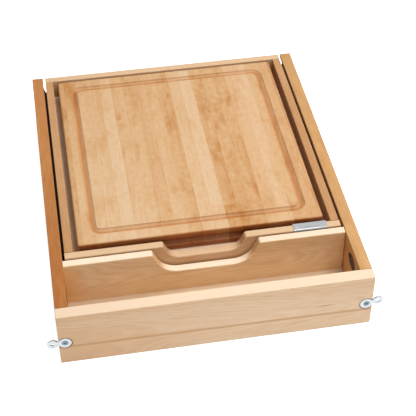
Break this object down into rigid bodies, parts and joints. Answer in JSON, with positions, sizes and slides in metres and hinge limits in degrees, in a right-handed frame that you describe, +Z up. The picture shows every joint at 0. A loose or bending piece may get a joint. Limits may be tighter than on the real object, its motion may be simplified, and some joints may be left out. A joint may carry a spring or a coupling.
{
  "type": "knife and cutting board drawer",
  "caption": "Open maple drawer with a front trough, a scooped divider and a sliding upper tray that holds a grooved cutting board over a slotted knife block.",
  "frame": {"origin": "centre of the drawer's width and depth, in the plane of its lower edges", "axes": "+X to the right seen from the front, +Y from the front panel to the back, +Z up"},
  "size_m": [0.4899, 0.5594, 0.0981],
  "materials": {
    "front_maple": "clear satin lacquer over pale maple, grain along the width",
    "side_maple": "clear satin lacquer over maple, grain along the depth",
    "divider_maple": "clear satin lacquer over pale maple, grain along the width",
    "tray_maple": "clear satin lacquer over pale maple",
    "board_maple": "oiled edge-glued maple strips that run front to back",
    "block_maple": "sanded maple",
    "plywood": "clear lacquer over maple-faced plywood",
    "dowel_beech": "bare beech",
    "screw_steel": "zinc plated",
    "slide_zinc": "clear zinc plated, cold rolled",
    "cage_steel": "bright rolled strip with polished balls",
    "clip_steel": "satin plated sheet",
    "bright_zinc": "bright zinc plated"
  },
  "bodies": {
    "drawer": {"drawer_front": "front_maple", "drawer_side_left": "side_maple", "drawer_side_right": "side_maple", "trough_divider": "divider_maple", "drawer_bottom": "plywood", "back_rail": "divider_maple", "front_dowels": "dowel_beech", "divider_dowels": "dowel_beech", "rail_dowels": "dowel_beech", "bottom_screws": "screw_steel", "knife_block_base": "plywood", "knife_block_slats": "block_maple", "slide_outer_left": "slide_zinc", "slide_outer_right": "slide_zinc", "outer_slide_screws": "screw_steel", "lug_screws": "bright_zinc"},
    "tray": {"tray_front": "tray_maple", "tray_back": "tray_maple", "tray_side_left": "tray_maple", "tray_side_right": "tray_maple", "tray_bottom": "plywood", "tray_dowels": "dowel_beech", "tray_edge_clip": "clip_steel", "clip_pins": "clip_steel", "slide_inner_left": "slide_zinc", "slide_inner_right": "slide_zinc", "inner_slide_screws": "screw_steel"},
    "board": {"cutting_board": "board_maple"},
    "middle_member_left": {"slide_middle_left": "slide_zinc"},
    "outer_cage_left": {"outer_ball_cage_left": "cage_steel"},
    "inner_cage_left": {"inner_ball_cage_left": "cage_steel"},
    "middle_member_right": {"slide_middle_right": "slide_zinc"},
    "outer_cage_right": {"outer_ball_cage_right": "cage_steel"},
    "inner_cage_right": {"inner_ball_cage_right": "cage_steel"},
    "lug_left": {"front_lug_left": "bright_zinc"},
    "lug_right": {"front_lug_right": "bright_zinc"}
  },
  "joints": [
    {"name": "tray_slide", "type": "slide", "parent": "drawer", "child": "tray", "axis": [0, 1, 0], "range_m": [0, 0.4]},
    {"name": "board_lift", "type": "slide", "parent": "tray", "child": "board", "axis": [0, 0, 1], "range_m": [0, 0.06]},
    {"name": "middle_member_left_slide", "type": "slide", "parent": "drawer", "child": "middle_member_left", "axis": [0, 1, 0], "range_m": [0, 0.2]},
    {"name": "outer_cage_left_slide", "type": "slide", "parent": "drawer", "child": "outer_cage_left", "axis": [0, 1, 0], "range_m": [0, 0.1]},
    {"name": "inner_cage_left_slide", "type": "slide", "parent": "drawer", "child": "inner_cage_left", "axis": [0, 1, 0], "range_m": [0, 0.3]},
    {"name": "middle_member_right_slide", "type": "slide", "parent": "drawer", "child": "middle_member_right", "axis": [0, 1, 0], "range_m": [0, 0.2]},
    {"name": "outer_cage_right_slide", "type": "slide", "parent": "drawer", "child": "outer_cage_right", "axis": [0, 1, 0], "range_m": [0, 0.1]},
    {"name": "inner_cage_right_slide", "type": "slide", "parent": "drawer", "child": "inner_cage_right", "axis": [0, 1, 0], "range_m": [0, 0.3]},
    {"name": "lug_left_swing", "type": "hinge", "parent": "drawer", "child": "lug_left", "pos_m": [-0.2196, -0.27845, 0.0422], "axis": [0, 1, 0], "range_deg": [-11.4, 14.6]},
    {"name": "lug_right_swing", "type": "hinge", "parent": "drawer", "child": "lug_right", "pos_m": [0.2196, -0.27845, 0.0422], "axis": [0, 1, 0], "range_deg": [-1.6, 24.4]}
  ],
  "couplings": [
    {"joint": "middle_member_left_slide", "follows": "tray_slide", "ratio": 0.5},
    {"joint": "outer_cage_left_slide", "follows": "tray_slide", "ratio": 0.25},
    {"joint": "inner_cage_left_slide", "follows": "tray_slide", "ratio": 0.75},
    {"joint": "middle_member_right_slide", "follows": "tray_slide", "ratio": 0.5},
    {"joint": "outer_cage_right_slide", "follows": "tray_slide", "ratio": 0.25},
    {"joint": "inner_cage_right_slide", "follows": "tray_slide", "ratio": 0.75}
  ]
}
